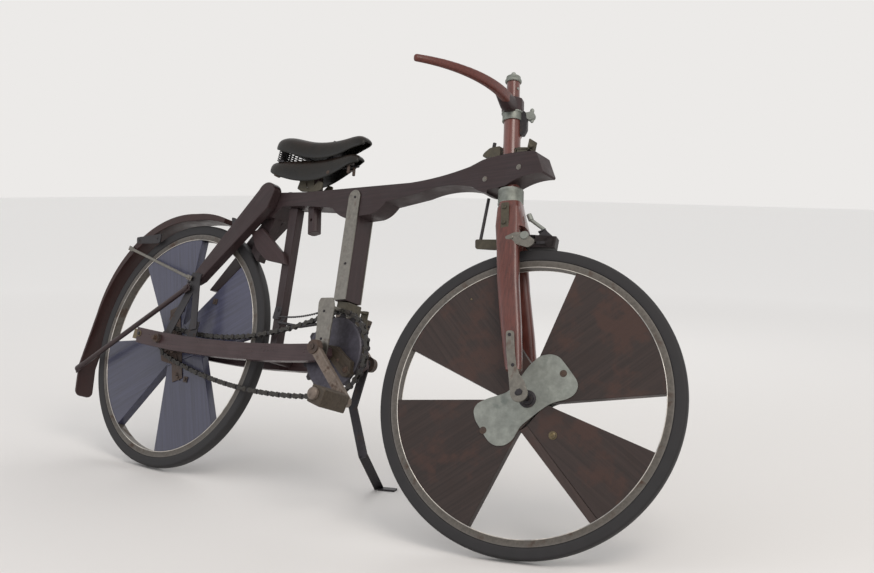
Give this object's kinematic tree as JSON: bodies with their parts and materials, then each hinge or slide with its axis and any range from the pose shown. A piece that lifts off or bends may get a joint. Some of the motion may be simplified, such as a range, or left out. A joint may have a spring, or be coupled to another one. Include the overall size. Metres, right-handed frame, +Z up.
{
  "type": "wooden bicycle",
  "caption": "Antique wooden bicycle: carved beam frame, four-fan board wheels with solid tyres, block-chain drive, two-deck leather saddle, leaning on a flat bar stand.",
  "frame": {"origin": "middle of the bounding box in plan, on the floor under the wheels", "axes": "+X forward (the way the bicycle travels), +Y to the rider's left, +Z up; the bicycle leans to +Y on its stand"},
  "size_m": [1.9984, 0.6776, 1.1149],
  "materials": {
    "tyre": "worn solid rubber",
    "rim": "worn dark paint",
    "board_wood": "dark varnished boards",
    "dark_wood": "dark varnish",
    "red_wood": "red-brown varnish",
    "leather": "old dark leather",
    "pedal_rubber": "worn block",
    "dark_steel": "dark, rusted",
    "grey_steel": "dull grey"
  },
  "bodies": {
    "front_fork": {"bar_block": "red_wood", "bar_clamp": "grey_steel", "bar_post": "red_wood", "brake_lug": "grey_steel", "brake_rod": "grey_steel", "brake_shoe": "dark_wood", "drop_strap_left": "grey_steel", "drop_strap_right": "grey_steel", "ferrule": "grey_steel", "fork": "red_wood", "fork_plate_left": "grey_steel", "fork_plate_right": "grey_steel", "front_axle": "grey_steel", "handlebar_left": "red_wood", "handlebar_right": "red_wood", "steerer": "red_wood"},
    "frame": {"beam": "dark_wood", "bracket_left": "grey_steel", "bracket_right": "grey_steel", "chain": "dark_steel", "chainstay_left": "dark_wood", "chainstay_right": "dark_wood", "fork_end_left": "grey_steel", "fork_end_right": "grey_steel", "guard": "dark_wood", "guard_stay_lower": "grey_steel", "guard_stay_upper": "grey_steel", "gusset": "dark_wood", "hanger": "dark_wood", "post": "red_wood", "rear_axle": "grey_steel", "saddle_base": "leather", "saddle_springs": "grey_steel", "saddle_top": "leather", "seat_post": "dark_wood", "seat_stay_left": "dark_wood", "seat_stay_right": "dark_wood", "strap_left": "grey_steel", "strap_right": "grey_steel", "strut": "dark_wood"},
    "crankset": {"chainwheel": "dark_steel", "crank_axle": "grey_steel", "crank_block": "dark_steel", "crank_left": "grey_steel", "crank_right": "grey_steel"},
    "rear_wheel": {"cog": "dark_steel", "rear_boards_a": "board_wood", "rear_boards_b": "board_wood", "rear_hub": "grey_steel", "rear_rim": "rim", "rear_tyre": "tyre"},
    "front_wheel": {"front_boards_a": "board_wood", "front_boards_b": "board_wood", "front_hub": "grey_steel", "front_rim": "rim", "front_tyre": "tyre"},
    "pedal_left": {"pedal_left": "pedal_rubber"},
    "pedal_right": {"pedal_right": "pedal_rubber"},
    "stand": {"stand": "dark_steel"}
  },
  "joints": [
    {"name": "rear_wheel_spin", "type": "hinge", "parent": "frame", "child": "rear_wheel", "pos_m": [-0.57947, -0.09995, 0.34124], "axis": [0, 0.9478, -0.319], "continuous": true},
    {"name": "steering", "type": "hinge", "parent": "frame", "child": "front_fork", "pos_m": [0.60493, -0.09985, 0.34155], "axis": [-0.2274, 0.3106, 0.9229], "range_deg": [-60, 20]},
    {"name": "front_wheel_spin", "type": "hinge", "parent": "front_fork", "child": "front_wheel", "pos_m": [0.65846, -0.08272, 0.33506], "axis": [-0.3235, 0.8699, -0.3724], "continuous": true},
    {"name": "crank_spin", "type": "hinge", "parent": "frame", "child": "crankset", "pos_m": [0.07251, -0.08873, 0.37459], "axis": [0, 0.9478, -0.319], "continuous": true},
    {"name": "pedal_right_spin", "type": "hinge", "parent": "crankset", "child": "pedal_right", "pos_m": [0.21824, -0.12662, 0.26201], "axis": [0, 0.9478, -0.319], "continuous": true},
    {"name": "pedal_left_spin", "type": "hinge", "parent": "crankset", "child": "pedal_left", "pos_m": [-0.07321, -0.05084, 0.48716], "axis": [0, 0.9478, -0.319], "continuous": true},
    {"name": "stand_fold", "type": "hinge", "parent": "frame", "child": "stand", "pos_m": [0.07251, -0.08873, 0.37459], "axis": [0, 0.9478, -0.319], "range_deg": [0, 80]}
  ]
}
